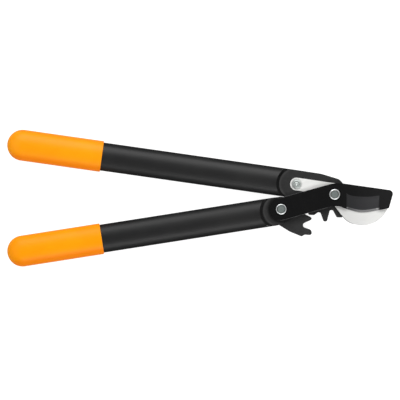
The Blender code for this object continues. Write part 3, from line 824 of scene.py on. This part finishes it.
def upper_gear():
    """Toothed web round the main pivot."""
    teeth = [(37.5, 181.5, 0.5), (39.0, 189.8, 1.8), (30.9, 198.0, 2.0), (30.6, 207.0, 2.0),
             (38.4, 213.8, 1.2), (39.4, 218.3, 1.6), (34.9, 225.2, 2.4), (28.8, 227.3, 2.0),
             (27.7, 233.1, 2.2), (34.7, 247.6, 2.4), (33.8, 254.2, 2.2), (19.8, 253.2, 1.8),
             (18.8, 263.5, 1.8), (27.5, 275.2, 2.0), (29.3, 289.5, 1.8), (13.4, 310.0, 0.5)]
    hub = [(13.4, angle, 0.0) for angle in range(325, 540, 5)]
    return rounded(toothed(teeth + hub))


def lower_gear():
    """Toothed web round the handle pivot."""
    web = scaled([(-3.3, -18.35, 0.5), (10.6, -26.95, 30.0), (24.4, -32.45, 1.8), (28.0, -30.35, 1.8),
                  (36.8, -30.9, 2.4), (36.1, -24.6, 4.0), (21.0, -19.4, 3.0), (39.1, -11.2, 2.4),
                  (31.0, -7.1, 4.0), (27.3, -5.2, 2.4)])
    teeth = [(24.7, -0.5, 2.4), (35.1, 6.9, 1.6), (34.8, 10.8, 1.8), (26.1, 17.0, 2.2), (26.2, 30.9, 2.0),
             (14.9, 46.0, 2.0)]
    hub = [(14.9, angle, 0.0) for angle in range(60, 241, 5)]
    outline = rounded(web + toothed(teeth + hub))
    return [(x + HANDLE_PIVOT[0], y + HANDLE_PIVOT[1]) for x, y in outline]


def make_spigot(handle):
    """Oval plug inside the tube, hollowed round the shoulder, with the tongue and the groove's floor."""
    step, turn, centre = handle["step"], handle["turn"], shoulder_centre(handle)
    wide = TUBE_WIDTH / 2 - TUBE_WALL - FIT
    deep = TUBE_DEPTH / 2 - TUBE_WALL - FIT
    end = step + SPIGOT_END
    plug = ring_line("plug", [(step + SPIGOT_START, wide, deep), (end - SPIGOT_TAPER, wide, deep),
                              (end, wide - SPIGOT_TAPER, deep - SPIGOT_TAPER)],
                     "X", (0.0, handle["offset"], AXIS_HEIGHT), 64, closed=False)
    into_handle(plug, handle)
    drill(plug, centre, STEP_RADIUS + 2 * FIT, TONGUE_HIGH, 96)
    near, far = TONGUE_START, step + TONGUE_END
    tongue = [handle_point(handle, out, side) for out, side in (
        (near, -TONGUE_HALF), (far, -TONGUE_HALF), (far, TONGUE_HALF), (near, TONGUE_HALF))]
    join_solids(plug, plate("tongue", tongue, TONGUE_LOW, TONGUE_HIGH), "UNION")
    edge = TUBE_WIDTH / 2 - OVERLAP
    radius = STEP_RADIUS - OVERLAP
    spread = math.degrees(math.asin(edge / radius))
    floor = arc(centre, radius, turn - spread, turn + spread, 3.0)
    floor += [handle_point(handle, FLOOR_START, side) for side in (edge, -edge)]
    join_solids(plug, plate("floor", floor, FLOOR_LOW, FLOOR_HIGH), "UNION")
    return plug


def make_fitting(ledge, gear, handle):
    """Ledge with a rounded brow, the toothed web under it and the spigot that fills the tube."""
    fitting = plate("fitting", ledge, GEAR_LOW + OVERLAP, LEDGE_HIGH, BROW, 4, UNDER_BROW)
    join_solids(fitting, make_spigot(handle), "UNION")
    join_solids(fitting, plate("web", gear, GEAR_LOW, GEAR_HIGH, WEB_RIM), "UNION")
    return fitting


def hook_tail_angles():
    """Angles at which the straight upper and lower side of the hook's tang leave its tail."""
    base = math.degrees(math.atan2(HOOK_RIVET[1], HOOK_RIVET[0]))
    side = math.degrees(math.acos((HOOK_EYE - HOOK_TAIL) / math.hypot(*HOOK_RIVET)))
    return base - side, HOOK_UNDERSIDE_TURN + 90


def pocket_outline():
    """The hook's eye and tail with room around them."""
    upper, lower = hook_tail_angles()
    return (arc(MAIN_PIVOT, HOOK_EYE + FIT, 182.0, 360 + upper)
            + arc(HOOK_RIVET, HOOK_TAIL + FIT, upper, lower))


upper_fitting = make_fitting(upper_ledge(), upper_gear(), UPPER)
join_solids(upper_fitting, plate("pocket", pocket_outline(), GEAR_HIGH, LEDGE_HIGH + 2 * MM))
neck = scaled([(-20.0, -13.5), (12.0, -13.5), (30.0, -30.0), (30.0, 6.0), (11.8, 7.6), (0.0, 0.0)])
join_solids(upper_fitting, plate("neck", neck, GEAR_HIGH + 0.01 * MM, LEDGE_HIGH + 2.5 * MM))
drill(upper_fitting, MAIN_PIVOT, SHANK + FIT)
drill(upper_fitting, HOOK_RIVET, HOOK_SHANK + FIT)
finish_piece(upper_fitting, "upper_handle_fitting", "hook_side",
             ["upper_gear_fitting"], [composite_finish("upper_fitting_composite", 0.0190, UPPER)])

lower_fitting = make_fitting(lower_ledge(), lower_gear(), LOWER)
drill(lower_fitting, HANDLE_PIVOT, BUSH_HOLE)
finish_piece(lower_fitting, "lower_handle_fitting", "geared_handle",
             ["lower_gear_fitting"],
             [composite_finish("lower_fitting_composite", 0.0215, LOWER, HANDLE_PIVOT)])


# Blade and hook

def belly_line():
    """The blade's cutting edge, from left to right."""
    return scaled(smooth_line([(15.5, -17.6), (19.6, -18.8), (26.5, -20.7), (33.3, -21.3),
                               (40.0, -20.9), (48.0, -19.5), (54.8, -18.3)]))


def blade_outline():
    """The blade's back, its tang's round end, its underside and its tip."""
    end = CARRIER_LENGTH + TANG_END
    corner = TANG_LOWER_SIDE - FIT
    corners = scaled([(2.1, 14.2, 42.0)])
    corners += [(*beside(MAIN_PIVOT, CARRIER_TURN, end, side), corner)
                for side in (-TANG_UPPER_SIDE, TANG_LOWER_SIDE)]
    corners += scaled([(-1.5, -13.9, 10.0), (6.2, -14.3, 8.0), (13.7, -17.2, 2.0)])
    corners += sharp(belly_line())
    corners += scaled([(60.5, -17.4, 8.0), (64.8, -16.3, 0.8), (70.69, 4.45, 4.8)])
    return rounded(corners, 4.0)


def height_at(line, x):
    """Where a line drawn from left to right stands at x, or its end's height beyond it."""
    for (x0, y0), (x1, y1) in zip(line, line[1:]):
        if x0 <= x <= x1:
            return y0 + (y1 - y0) * (x - x0) / (x1 - x0)
    return line[0][1] if x < line[0][0] else line[-1][1]


def grinding_wheel():
    """The space that the grinding takes from the blade: the hollow face, and the honed strip under it."""
    belly = belly_line()
    brow = scaled(smooth_line([(14.0, 1.6), (17.5, -0.7), (24.0, -2.2), (33.0, -2.8), (42.0, -2.7),
                               (53.2, -1.4)]))
    slope = BLADE_HIGH - BLADE_LOW - EDGE_THICKNESS
    rows = []
    count = 28
    for k in range(count + 1):
        x = brow[0][0] + (brow[-1][0] - brow[0][0]) * k / count
        top = height_at(brow, x)
        edge = height_at(belly, x) + HONED_WIDTH
        outside = height_at(belly, x) - 2.0 * MM
        row = [(top, BLADE_HIGH)]
        for share in (0.25, 0.5, 0.75):
            sag = HOLLOW * math.sin(math.pi * share)
            row.append((top + (edge - top) * share, BLADE_HIGH - share * slope - sag))
        row += [(edge, BLADE_LOW + EDGE_THICKNESS), (outside, BLADE_LOW + 0.1 * MM),
                (outside, BLADE_HIGH + 2.0 * MM), (top, BLADE_HIGH + 2.0 * MM)]
        rows.append([(x, y, z) for y, z in row])
    wide = len(rows[0])
    faces = [(i * wide + k, i * wide + (k + 1) % wide, (i + 1) * wide + (k + 1) % wide, (i + 1) * wide + k)
             for i in range(count) for k in range(wide)]
    faces += [tuple(range(wide)), tuple(count * wide + k for k in reversed(range(wide)))]
    mesh = bpy.data.meshes.new("wheel")
    mesh.from_pydata([point for row in rows for point in row], [], faces)
    tool = bpy.data.objects.new("wheel", mesh)
    bpy.context.scene.collection.objects.link(tool)
    open_edit(tool, "FACE")
    close_solid()
    return tool


def hook_outline():
    """The hook's eye, its outer curve to the tip, its inner curve back, and its tail."""
    upper, lower = hook_tail_angles()
    outer = smooth_line([(0.2, -14.1), (4.1, -19.3), (9.6, -26.7), (14.2, -31.4), (19.0, -34.2),
                         (27.0, -36.2), (36.3, -36.5), (45.8, -34.2), (54.2, -29.1), (60.1, -22.4),
                         (63.9, -15.6), (65.8, -10.6)])
    inner = smooth_line([(62.6, -9.4), (57.0, -13.2), (47.0, -16.9), (36.0, -18.4),
                         (25.0, -17.2), (17.0, -13.6), (13.0, -8.0)])
    return (arc(MAIN_PIVOT, HOOK_EYE, 181.0, 266.0) + scaled(outer) + scaled(inner)
            + arc(MAIN_PIVOT, HOOK_EYE, 336.0, 360 + upper)
            + arc(HOOK_RIVET, HOOK_TAIL, upper, lower))


def on_ground_face(face):
    """Hollow slope between the blade's flat face and its honed edge."""
    x, y, z = face.center
    return (0.05 < face.normal.z < 0.9999 and z < BLADE_HIGH - 0.02 * MM and face.area > 0.2 * MM * MM
            and -20.0 * MM < y < 3.0 * MM and GROUND_LEFT < x < GROUND_RIGHT)


def on_honed_edge(face):
    """Slightly sloping strip along the cutting edge."""
    x, y, z = face.center
    return (0.5 < face.normal.z < 0.9999 and z < BLADE_LOW + EDGE_THICKNESS + 0.01 * MM
            and y < -12.0 * MM and GROUND_LEFT < x < GROUND_RIGHT)


def on_painted_highlight_rim(face):
    """Rounded upper rim along the tang's two sides and round the blade's tip, which carries the painted
    highlight.
    """
    if not (0.05 < face.normal.z < 0.97 and face.center.z > BLADE_HIGH - BLADE_RIM - 0.01 * MM):
        return False
    x = face.center.x
    lower_side = -72.0 * MM < x < 0.0 and face.normal.y < -0.2
    upper_side = -72.0 * MM < x < -16.0 * MM and face.normal.y > 0.2
    return lower_side or upper_side or face.normal.x > 0.5


def on_painted_shade_rim(face):
    """The hook's upper rim on its outside, painted dark as shade."""
    x, y, z = face.center
    return 0.05 < face.normal.z < 0.985 and y < -22.0 * MM and 8.0 * MM < x < 26.5 * MM


blade = plate("blade", blade_outline(), BLADE_LOW, BLADE_HIGH, BLADE_RIM)
join_solids(blade, grinding_wheel())
drill(blade, MAIN_PIVOT, BUSH_HOLE)
drill(blade, HANDLE_PIVOT, SHANK + FIT)
finish_piece(blade, "cutting_blade", "blade", ["blade"],
             [coat_finish("blade_coat"), ground_finish(), honed_finish(),
              coat_finish("blade_rim_painted_highlight", (0.091, 0.091, 0.092))], 20.0)
# The blade's rounded rim gets the painted highlight
for index, test in enumerate((on_ground_face, on_honed_edge, on_painted_highlight_rim), 1):
    paint_faces(blade, index, test)

hook = plate("hook", hook_outline(), HOOK_LOW, HOOK_HIGH, HOOK_RIM, 4, HOOK_UNDER_RIM)
drill(hook, MAIN_PIVOT, SHANK + FIT)
drill(hook, HOOK_RIVET, HOOK_SHANK + FIT)
finish_piece(hook, "bypass_hook", "hook_side", ["hook"],
             [hook_finish("hook_bright_steel", (0.855, 0.855, 0.838), 0.46, inner_darkening=0.78),
              hook_finish("hook_rim_painted_shade", (0.17, 0.17, 0.167), 0.50, fades_to=(0.81, 0.81, 0.795))])
# The hook's outer rim is painted dark as shade
paint_faces(hook, 1, on_painted_shade_rim)


# Pivots

def turned_solid(name, centre, profile):
    """Solid turned from (radius, height) points, from its back to its front."""
    rings = [(z, max(radius, NO_RADIUS), max(radius, NO_RADIUS)) for radius, z in profile]
    return ring_line(name, rings, "Z", (*centre, 0.0), TURNED_SIDES, closed=False)


def round_corner(radius, level, size, up=True):
    """Points of a rounded rim that ends on a level face."""
    sign = -1 if up else 1
    turns = [math.radians(degrees) for degrees in (0, 30, 60, 90)]
    points = [(radius - size + size * math.cos(a), level + sign * (size - size * math.sin(a)))
              for a in turns]
    return points if up else points[::-1]


def back_head(radius, low, rim, shank, shank_end):
    """The head at the back and the shank that stands on it, up to the front head."""
    return [(0.0, low), *round_corner(radius, low, rim, up=False), (radius, BACK_HEAD_HIGH),
            (shank, BACK_HEAD_HIGH), (shank, shank_end)]


def pivot_rivet(centre):
    """Flat head at the back, and a dished face inside the bright ring."""
    top = RING_HIGH + 0.1 * MM
    dish = top - 0.05 * MM
    profile = back_head(BACK_HEAD, 0.0, 0.5 * MM, SHANK, RING_LOW)
    profile += [(FRONT_HEAD, RING_LOW), *round_corner(FRONT_HEAD, top, 0.45 * MM)]
    profile += [(2.8 * MM, dish), (0.0, dish)]
    return turned_solid("rivet", centre, profile)


def front_ring(centre):
    """Bright ring round a pivot's rivet, its inner rim sloping and its outer rim rounded."""
    profile = [(RING_INNER, RING_LOW), (RING_INNER, RING_HIGH - 0.35 * MM)]
    profile += [(RING_INNER + 0.3 * MM, RING_HIGH - 0.08 * MM), (RING_INNER + 0.7 * MM, RING_HIGH)]
    profile += round_corner(RING_OUTER, RING_HIGH, 0.7 * MM)[::-1] + [(RING_OUTER, RING_LOW)]
    rings = [(z, radius, radius) for radius, z in profile]
    return ring_line("ring", rings, "Z", (*centre, 0.0), TURNED_SIDES)


def hook_stud():
    """The hook's rivet, its front head turned in steps round a dimple."""
    seat = HOOK_HIGH + FIT
    steps = scaled([(4.3, -0.1), (3.9, 0.0), (3.3, -0.05), (3.0, -0.35), (2.4, -0.38), (2.0, -0.12),
                    (1.5, -0.1), (1.0, -0.45), (0.5, -0.7)])
    profile = back_head(STUD_BACK, STUD_LOW, 0.3 * MM, HOOK_SHANK, seat)
    profile += [(STUD_FRONT, seat), *round_corner(STUD_FRONT, STUD_HIGH - 0.35 * MM, 0.4 * MM)]
    profile += [(radius, STUD_HIGH + z) for radius, z in steps]
    return turned_solid("stud", HOOK_RIVET, profile)


for label, centre, body, bright in (("blade_pivot", MAIN_PIVOT, "hook_side", (0.76, 0.78, 0.78)),
                                    ("handle_pivot", HANDLE_PIVOT, "blade", (0.70, 0.72, 0.72))):
    finish_piece(pivot_rivet(centre), label + "_rivet_turned", body, [label + "_rivet"],
                 [rivet_face_finish(label + "_rivet_zinc", centre)])
    finish_piece(front_ring(centre), label + "_ring_bright", body, [label + "_front_ring"],
                 [turned_finish(label + "_ring_steel", centre, bright, 0.24)])
finish_piece(hook_stud(), "hook_stud_turned", "hook_side", ["hook_rivet"],
             [turned_finish("hook_stud_steel", HOOK_RIVET, (0.56, 0.60, 0.58), 0.32, dulled=4.0 * MM,
                            metal=0.8)])


# Pieces that the frame already shapes well

for label, centre in (("blade_pivot", MAIN_PIVOT), ("handle_pivot", HANDLE_PIVOT)):
    bronze = turned_finish(label + "_bush_bronze", centre, (0.36, 0.29, 0.19), 0.42, 0.6 * MM)
    kept_nodes[label + "_bush"].data.materials[0] = bronze
for label, centre in (("blade_pivot", MAIN_PIVOT), ("handle_pivot", HANDLE_PIVOT), ("hook", HOOK_RIVET)):
    steel = turned_finish(label + "_washer_steel", centre, (0.60, 0.61, 0.60), 0.34, 0.5 * MM)
    kept_nodes[label + "_back_washer"].data.materials[0] = steel
for label in ("upper", "lower"):
    kept_nodes[label + "_end_plug"].data.materials[0] = composite_finish(label + "_plug_plastic", 0.035)


# Table, light and camera

bpy.ops.object.select_all(action="DESELECT")
bpy.ops.mesh.primitive_plane_add(size=14.0, location=(*MIDDLE[:2], -0.2 * MM))
table = bpy.context.object
table.name = table.data.name = "white_table"
paper = Finish("white_table_top", Roughness=0.9, Specular_IOR_Level=0.0, Emission_Strength=0.93,
               Emission_Color=(1.0, 1.0, 1.0, 1.0))
paper.feed("Base Color", paper.over(paper.grain(paper.place(), 0.5), grey(0.29), grey(0.31)))
table.data.materials.append(paper.material)
table.visible_glossy = False

world = bpy.data.worlds.new("studio")
bpy.context.scene.world = world
world.use_nodes = True
sky = Shading(world.node_tree, "Background")
up = sky.axis(sky.node("TexCoord", output="Generated"), "Z")
height = sky.node("MapRange", None, {"Value": up, "From Min": -1.0})
stops = [(share, (*grey(level), 1.0))
         for share, level in ((0.49, 0.03), (0.51, 0.15), (0.75, 0.26), (0.90, 0.06), (1.0, 0.02))]
sky.feed("Color", sky.node("ValToRGB", {"stops": stops}, {"Fac": height}))


def softbox(name, place, size, power):
    """Soft light that points at the middle of the tool."""
    light = bpy.data.lights.new(name, "AREA")
    light.shape = "RECTANGLE"
    light.size, light.size_y = size
    light.energy = power
    lamp = bpy.data.objects.new(name, light)
    bpy.context.scene.collection.objects.link(lamp)
    lamp.location = place
    lamp.rotation_euler = (Vector(MIDDLE) - Vector(place)).to_track_quat("-Z", "Y").to_euler()
    lamp.visible_camera = False


softbox("back_softbox", (0.05, 1.55, 1.60), (3.0, 1.35), 45.0)
softbox("front_softbox", (0.52, -1.50, 1.60), (2.0, 0.85), 22.0)
softbox("grip_end_softbox", (-1.60, 0.0, 1.70), (2.4, 2.0), 11.5)
softbox("jaw_end_softbox", (1.28, 0.0, 1.70), (2.4, 2.0), 10.3)

view = bpy.data.cameras.new("camera")
view.type = "PERSP"
view.sensor_width = 36.0
view.lens = 1000.0
view.clip_end = 60.0
camera = bpy.data.objects.new("camera", view)
bpy.context.scene.collection.objects.link(camera)
camera.location = (*FRAME_CENTRE, FRAME_WIDTH * view.lens / view.sensor_width + SCALE_HEIGHT)
bpy.context.scene.camera = camera
bpy.context.scene.view_settings.view_transform = "Standard"
bpy.context.scene.view_settings.look = "None"
